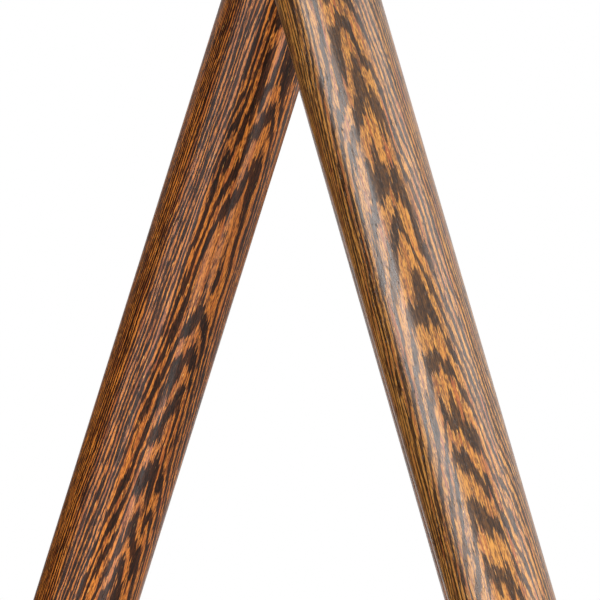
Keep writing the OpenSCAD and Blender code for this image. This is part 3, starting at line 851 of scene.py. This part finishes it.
def shoe_profile(near, far, wide):
    """A grooved band, the hollow curve and a bead, and back up through the bore for the spike."""
    band = [(SHOE_BORE_R, near), (wide - 0.5, near), (wide, near + 0.5), (wide, near + 2.0),
            (wide - 0.5, near + 2.3), (wide - 0.5, near + 2.7), (wide, near + 3.0), (wide, near + 6.2),
            (wide - 0.8, near + 7.0), (wide - 1.6, near + 7.2), (wide - 1.6, near + 8.4)]
    foot = [(6.1, far - 4.4), (6.7, far - 3.8), (6.7, far - 2.6), (6.1, far - 2.0), (5.6, far - 0.4),
            (5.2, far), (SPIKE_R + 0.05, far), (SPIKE_R + 0.05, far - 14.0), (SHOE_BORE_R, far - 14.4)]
    profile = np.concatenate([band, shoe_curve(near + 8.6, far - 4.6, wide - 1.7, 5.6), foot])
    return fine(rounded(profile, 0.25, True), 0.8, True)


def spike_profile(inside, far, tip):
    """A straight spike with a groove just past the shoe's end, and a quarter circle for its tip."""
    way = np.linspace(0, math.pi / 2, 9)
    point = np.stack([TIP_R * np.cos(way), tip - TIP_R + TIP_R * np.sin(way)], 1)
    point[-1, 0] = 0
    shaft = [(0, inside), (SPIKE_R, inside), (SPIKE_R, far + 1.2), (SPIKE_R - 0.5, far + 1.6),
             (SPIKE_R - 0.5, far + 2.2), (SPIKE_R - 0.1, far + 2.6), tuple(point[0])]
    return fine(np.concatenate([rounded(shaft, 0.2), point[1:]]), 0.8)


for leg in LEGS:
    lines = HINGE[leg], DOWN[leg], BOLT[leg]
    near, far, wide = reach(leg + "_foot_shoe", HINGE[leg], DOWN[leg])
    inside, tip, _ = reach(leg + "_foot_spike", HINGE[leg], DOWN[leg])
    dress(piece_of(leg + "_turned_shoe", [spun(shoe_profile(near, far, wide), *lines, 96)], True),
          [turned_metal(leg + "_shoe_brass", BRASS, HINGE[leg], DOWN[leg])], leg + "_foot_shoe")
    dress(piece_of(leg + "_ground_spike", [spun(spike_profile(inside, far, tip), *lines, 64)]),
          [turned_metal(leg + "_spike_steel", STEEL, HINGE[leg], DOWN[leg])], leg + "_foot_spike")
print("three feet turned, shoes", round(far - near), "mm long")

# %% [markdown]
# ## Wing screws
# A wing screw closes each clamp. Its wings are cast, so nothing on them is flat: each wing is a surface
# carried along a rising path, an oval whose width first swells and then closes at the tip. The shank is
# a turned surface with a fine thread.

# %% Wing screws
WING_ROOT = 1.0
WING_REACH = 13.8
WING_LOW = 4.0
WING_RISE = 7.0
WING_POWER = 1.6
WING_THICK = 1.5
WINGS_ABOVE_SEAT = 15.56
WING_SHANK_R = 2.5
WING_THREAD_PITCH = 0.8
WING_THREAD_DEPTH = 0.35


def wing(origin, along, side, rows=28, columns=24):
    """One wing. As s goes from 0 to 1 its path goes out from WING_ROOT to WING_REACH and rises by
    WING_RISE s ^ WING_POWER. The oval round the path leans as the path does, is 2.6 + 2.6 s half wide,
    and closes at the tip as a circle's edge does."""
    s = np.linspace(0, 1, rows)[:, None]
    a = np.linspace(0, 2 * math.pi, columns, endpoint=False)[None, :]
    out, rise = WING_ROOT + (WING_REACH - WING_ROOT) * s, WING_LOW + WING_RISE * s ** WING_POWER
    lean = np.arctan2(WING_RISE * WING_POWER * s ** (WING_POWER - 1), WING_REACH - WING_ROOT)
    end = np.sqrt(np.clip(1 - np.clip((s - 0.6) / 0.4, 0, 1) ** 2, 0, 1))
    across = (2.6 + 2.6 * s) * end * np.cos(a)
    thick = WING_THICK * (1 - 0.25 * s) * end ** 0.7 * np.sin(a)
    x, z = out - across * np.sin(lean), rise + across * np.cos(lean)
    cross = np.cross(along, side)
    return origin + MM * (x[..., None] * side + z[..., None] * along + thick[..., None] * cross)


for leg in LEGS:
    node = leg + "_clamp_screw"
    middle, along = np.array(JOINTS[leg + "_clamp_turn"]["pos_m"]), BOLT[leg]
    side = np.cross(DOWN[leg], along)
    low, high, _ = reach(node, middle, along)
    seat = high - WINGS_ABOVE_SEAT
    shank = [(0, low), (WING_SHANK_R, low), (WING_SHANK_R, seat), (4.9, seat), (4.9, seat + 1.2),
             (4.2, seat + 1.8), (4.6, seat + 6.0), (3.4, seat + 8.0), (0, seat + 8.4)]
    turned = fine(rounded(shank, [0, 0.5, 0, 0.3, 0.3, 0.4, 1.2, 1.2, 0]), 0.2)
    fine_thread = thread(WING_THREAD_PITCH, WING_THREAD_DEPTH, low - 1, seat - 0.2)
    grids = [spun(turned, middle, along, side, 48, fine_thread)]
    grids += [wing(middle + seat * MM * along, along, way * side) for way in (1, -1)]
    dress(piece_of(leg + "_wing_screw", grids),
          [turned_metal(leg + "_wing_brass", BRASS, middle, along)], node)
print("three wing screws made")

# %% [markdown]
# ## Castings and plates
# The head casting, the yoke, the underplate and the split collars are already right in the model, but
# every edge on them is knife sharp. A copy of each is merged into one skin, its flat faces are joined,
# and a Bevel rounds its edges. The bevel has a material of its own, brighter and smoother, because
# hands and screws rub an edge bare first.

# %% Softened copies
FLAT_ANGLE = math.radians(0.4)
EDGE_ANGLE = math.radians(35)
EDGE_STEPS = 3


def softened(node, width, materials):
    """A copy of a node with its edges rounded by width in metres. The last material is for the edges."""
    source = frame["nodes"][node].data
    corners = np.empty(len(source.loops), int)
    source.loops.foreach_get("vertex_index", corners)
    mesh = bpy.data.meshes.new(node + "_soft")
    mesh.from_pydata(node_points(node).tolist(), [], corners.reshape(-1, 3).tolist())
    work = bmesh.new()
    work.from_mesh(mesh)
    bmesh.ops.remove_doubles(work, verts=work.verts, dist=2e-6)
    bmesh.ops.dissolve_limit(work, angle_limit=FLAT_ANGLE, verts=work.verts, edges=work.edges)
    work.to_mesh(mesh)
    work.free()
    mesh.shade_smooth()
    made = bpy.data.objects.new(node + "_soft", mesh)
    bpy.context.scene.collection.objects.link(made)
    bevel = made.modifiers.new("soft_edges", "BEVEL")
    bevel.width = width
    bevel.segments = EDGE_STEPS
    bevel.limit_method = "ANGLE"
    bevel.angle_limit = EDGE_ANGLE
    bevel.use_clamp_overlap = False
    bevel.material = len(materials) - 1
    shade = made.modifiers.new("even_shade", "WEIGHTED_NORMAL")
    shade.keep_sharp = False
    return dress(made, materials, node)


for node, width in (("head_casting", 0.8), ("tilt_yoke", 0.6), ("platform_underplate", 0.5)):
    softened(node, width * MM, [CAST_BRASS, WORN_BRASS])
for node in ("pan_nut", "hinge_nuts", "tilt_pivot_screw", "pan_bolt"):
    softened(node, 0.3 * MM, [PLAIN_STEEL])
for leg in LEGS:
    softened(leg + "_clamp_collar", 0.4 * MM, [
        turned_metal(leg + "_collar_brass", BRASS, HINGE[leg], DOWN[leg]), WORN_BRASS])
    softened(leg + "_hinge_bolt", 0.25 * MM, [PLAIN_STEEL])
    softened(leg + "_leg_wood", 0.5 * MM, [LEG_WOOD[leg]])
print("castings and plates softened")

# %% [markdown]
# ## Small screws
# The yoke and the underplate are held by slotted screws with rounded heads. A head is a dome of
# revolution with a slot cut by the relief: the height drops where the distance to the slot's middle
# line is small.

# %% Small screws
SLOT_HALF = 0.55
SLOT_DEPTH = 0.9
SMALL_SHANK_R = 2.0
SMALL_HEAD_H = 2.0
YOKE_HEAD_R = 3.6
PLATE_HEAD_R = 3.4


def slotted(depth, high):
    """A slot across a head's top: down by depth within SLOT_HALF of the line through the axis."""
    def relief(angle, radius, height):
        line = np.abs(radius * np.sin(angle))
        return 0, -depth * (1 - ramp(line, SLOT_HALF - 0.12, SLOT_HALF + 0.12)) * (height > high - 1.2)
    return relief


def screw_heads(node, places, along, side, tail, seat, head_r):
    """Round headed screws at some places, from tail below the seat to the top of a domed head."""
    top = seat + SMALL_HEAD_H
    profile = [(0, tail), (SMALL_SHANK_R, tail), (SMALL_SHANK_R, seat), (head_r, seat),
               (head_r, seat + 0.35 * SMALL_HEAD_H), (head_r * 0.72, top - 0.12 * SMALL_HEAD_H), (0, top)]
    turned = fine(rounded(profile, [0, 0.3, 0, 0.15, 0.4, 0.9, 0]), 0.22)
    grids = [spun(turned, place, along, side, 72, slotted(SLOT_DEPTH, top)) for place in places]
    return dress(piece_of(node + "_round_heads", grids), [PLAIN_STEEL], node)


low, high = (np.array(corner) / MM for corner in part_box("yoke_screws"))
arm = (high[1] - low[1]) / 2 - YOKE_HEAD_R
places = [MM * arm * way * NORTH for way in (1, -1)]
screw_heads("yoke_screws", places, UP, EAST + 0.6 * NORTH,
            tail=low[2], seat=high[2] - SMALL_HEAD_H, head_r=YOKE_HEAD_R)

low, high = (np.array(corner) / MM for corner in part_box("underplate_screws"))
arm = high[0] - PLATE_HEAD_R
places = [MM * arm * (way_x * EAST + way_y * NORTH) for way_x in (1, -1) for way_y in (1, -1)]
screw_heads("underplate_screws", places, -UP, EAST + 0.3 * NORTH,
            tail=-high[2], seat=-low[2] - SMALL_HEAD_H, head_r=PLATE_HEAD_R)
print("six slotted screws made")

# %% [markdown]
# ## Nodes that stay
# Some nodes are plain turned shapes that hardly show, such as a bush in its hole or the rod inside a
# leg. They keep the model's own mesh and only get their finish. The rods show when a leg is drawn out,
# so each has the same wenge as its leg, along its own axis.

# %% Nodes that stay
def refinish(node, material):
    """Gives a node that stays its finish, in place of the plain one that it came with."""
    kept = frame["nodes"][node].data.materials
    kept.clear()
    kept.append(material)


for leg in LEGS:
    refinish(leg + "_extension_rod", wenge(
        "wenge_" + leg + "_rod", HINGE[leg], seen_axes(leg), pith=(22.0, 30.0), lean=(0.03, 0.05),
        seed=41.0, dark=DARK_BROWN, pale=ORANGE))
    trim = turned_metal(leg + "_trim_brass", BRASS, HINGE[leg], DOWN[leg])
    for part in ("_hinge_bush", "_stop_bush", "_collar_pins"):
        refinish(leg + part, trim)
refinish("camera_screw_clip", PLAIN_STEEL)
print("the nodes that stay have their finish")

# %% [markdown]
# ## The floor
# The floor is a wide pale disc. The lamps light its middle, and beyond their reach it glows a little by
# itself, so it meets the white air without a line.

# %% Floor
FLOOR_RADIUS = 14.0
FLOOR_COLOUR = 0.44
FLOOR_BOUNCE = (0.18, 0.18, 0.18, 1)
FLOOR_NEAR = (0.48, 0.48, 0.48, 1)
FLOOR_FAR = (0.9, 0.9, 0.9, 1)
LIT_FLOOR = (0.4, 2.0)
floor_z = CAD_BOX[0][2]


def flat_disc(name, radius, z, spokes=96):
    """A disc as one face with its points at equal angles."""
    angle = np.linspace(0, 2 * math.pi, spokes, endpoint=False)
    points = np.stack([radius * np.cos(angle), radius * np.sin(angle), np.full(spokes, z)], 1)
    mesh = bpy.data.meshes.new(name)
    mesh.from_pydata(points.tolist(), [], [list(range(spokes))])
    made = bpy.data.objects.new(name, mesh)
    bpy.context.scene.collection.objects.link(made)
    return made


def white_rays(tree):
    """1 for the rays from the camera, from a mirror or through glass, which see the white air."""
    ray = tree.node("LightPath", {}, {}, "Is Camera Ray")
    for kind in ("Is Glossy Ray", "Is Transmission Ray"):
        ray = ray.either(Wire(tree, tree.tree.nodes["Light Path"].outputs[kind]))
    return ray


floor = flat_disc("floor", FLOOR_RADIUS, floor_z)
floor_paint = Paint("pale_floor")
x, y, height = floor_paint.parts(floor_paint.node("TexCoord", {}, {}, "Object"))
beyond_lamps = ((x * x + y * y) ** 0.5).step(*LIT_FLOOR)
floor.data.materials.append(floor_paint.finish(
    Base_Color=(FLOOR_COLOUR, FLOOR_COLOUR, FLOOR_COLOUR, 1),
    Roughness=0.9,
    Emission_Color=floor_paint.mix(white_rays(floor_paint), FLOOR_BOUNCE,
                                   floor_paint.mix(beyond_lamps, FLOOR_NEAR, FLOOR_FAR)),
    Emission_Strength=1.0,
))
floor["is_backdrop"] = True
print("the floor lies", round(-floor_z, 3), "m below the top of the leather")

# %% [markdown]
# ## The air
# The air is white to the camera and in mirrors, but it sheds only a part of that light on the tripod,
# so that the lamps can shape it.

# %% Air
AIR_LIGHT = 0.29

world = bpy.data.worlds.new("air")
bpy.context.scene.world = world
air = Tree(world)
background = air.tree.nodes["Background"]
air.plug(background.inputs["Color"], (1, 1, 1, 1))
air.plug(background.inputs["Strength"], white_rays(air) * (1 - AIR_LIGHT) + AIR_LIGHT)
print("the air sheds", round(100 * AIR_LIGHT), "% of its light")

# %% [markdown]
# ## Lamps
# A round leg mirrors a lamp as one long sheen, and the sheen lies where the way to the lamp and the
# way to the camera make equal angles with the surface. So each soft lamp is placed from the place of
# its sheen, told as degrees round the leg.

# %% Lamps
SHEEN_DOWN = 0.12
SHEEN_POINT = {leg: HINGE[leg] + SHEEN_DOWN * DOWN[leg] for leg in LEGS}


def mirror_way(leg, turn):
    """The way in which a leg mirrors the camera's sight at a point of its surface turned by some
    degrees to the right of the point nearest the camera."""
    right, away, up = seen_axes(leg)
    angle = math.radians(turn)
    normal = math.sin(angle) * right - math.cos(angle) * away
    to_camera = -SIGHT
    return 2 * (normal @ to_camera) * normal - to_camera


def soft_light(name, leg, turn, distance, size, power, roll=0.0):
    """A rectangular lamp that a leg mirrors at some turn, turned by roll degrees about its own line."""
    lamp = bpy.data.lights.new(name, "AREA")
    lamp.shape = "RECTANGLE"
    lamp.size, lamp.size_y = size
    lamp.energy = power
    holder = bpy.data.objects.new(name, lamp)
    bpy.context.scene.collection.objects.link(holder)
    back = unit(mirror_way(leg, turn))
    level = unit(np.cross(UP, back))
    side = math.cos(math.radians(roll)) * level + math.sin(math.radians(roll)) * np.cross(back, level)
    rise = np.cross(back, side)
    spot = SHEEN_POINT[leg] + distance * back
    rows = [[side[k], rise[k], back[k], spot[k]] for k in range(3)]
    holder.matrix_world = Matrix(rows + [[0, 0, 0, 1]])
    holder.visible_camera = False
    return holder


lamps = [
    soft_light("lamp_left", "front", -21, 1.3, (0.95, 0.18), 7.2, 18),
    soft_light("lamp_right", "front", 38, 1.5, (1.0, 0.6), 7.2),
    soft_light("lamp_right_low", "left", 20, 1.3, (0.6, 0.5), 15),
    soft_light("lamp_left_low", "left", -13, 1.3, (0.3, 0.3), 5),
]
print(len(lamps), "soft lamps stand round the legs")

# %% [markdown]
# ## Dark screens
# Two black screens on the left are placed in the same way, and keep that side of the legs deep. The
# camera doesn't see them and they throw no shadow.

# %% Dark screens
SCREEN_BLACK = (0.01, 0.01, 0.01, 1)


def dark_screen(name, leg, turn, distance, width, height):
    """A black screen that a leg mirrors at some turn, and that shades it from the pale air there."""
    away = unit(mirror_way(leg, turn))
    side = unit(np.cross(UP, away))
    rise = np.cross(away, side)
    middle = SHEEN_POINT[leg] + distance * away
    ways = ((-1, -1), (1, -1), (1, 1), (-1, 1))
    corners = [middle + x * width / 2 * side + z * height / 2 * rise for x, z in ways]
    mesh = bpy.data.meshes.new(name)
    mesh.from_pydata([corner.tolist() for corner in corners], [], [(0, 1, 2, 3)])
    made = bpy.data.objects.new(name, mesh)
    bpy.context.scene.collection.objects.link(made)
    made.data.materials.append(Paint(name).finish(Base_Color=SCREEN_BLACK, Roughness=1.0))
    for kind in ("camera", "shadow", "transmission"):
        setattr(made, "visible_" + kind, False)
    made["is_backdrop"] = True
    return made


screens = [
    dark_screen("dark_screen_left", "front", -50, 1.1, 1.1, 1.5),
    dark_screen("dark_screen_behind", "front", -68, 1.1, 0.8, 0.7),
]
print(len(screens), "dark screens stand on the left")

# %% [markdown]
# ## Sizes
# The dressed tripod has to be as large as the model, so how far it stands proud of the model's box
# is printed.

# %% Sizes
new_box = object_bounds()
growth = (np.array(new_box) - np.array(CAD_BOX)) * [[-1], [1]] / MM
print("the dressed tripod stands proud of the model by at most", round(growth.max(), 2), "mm")
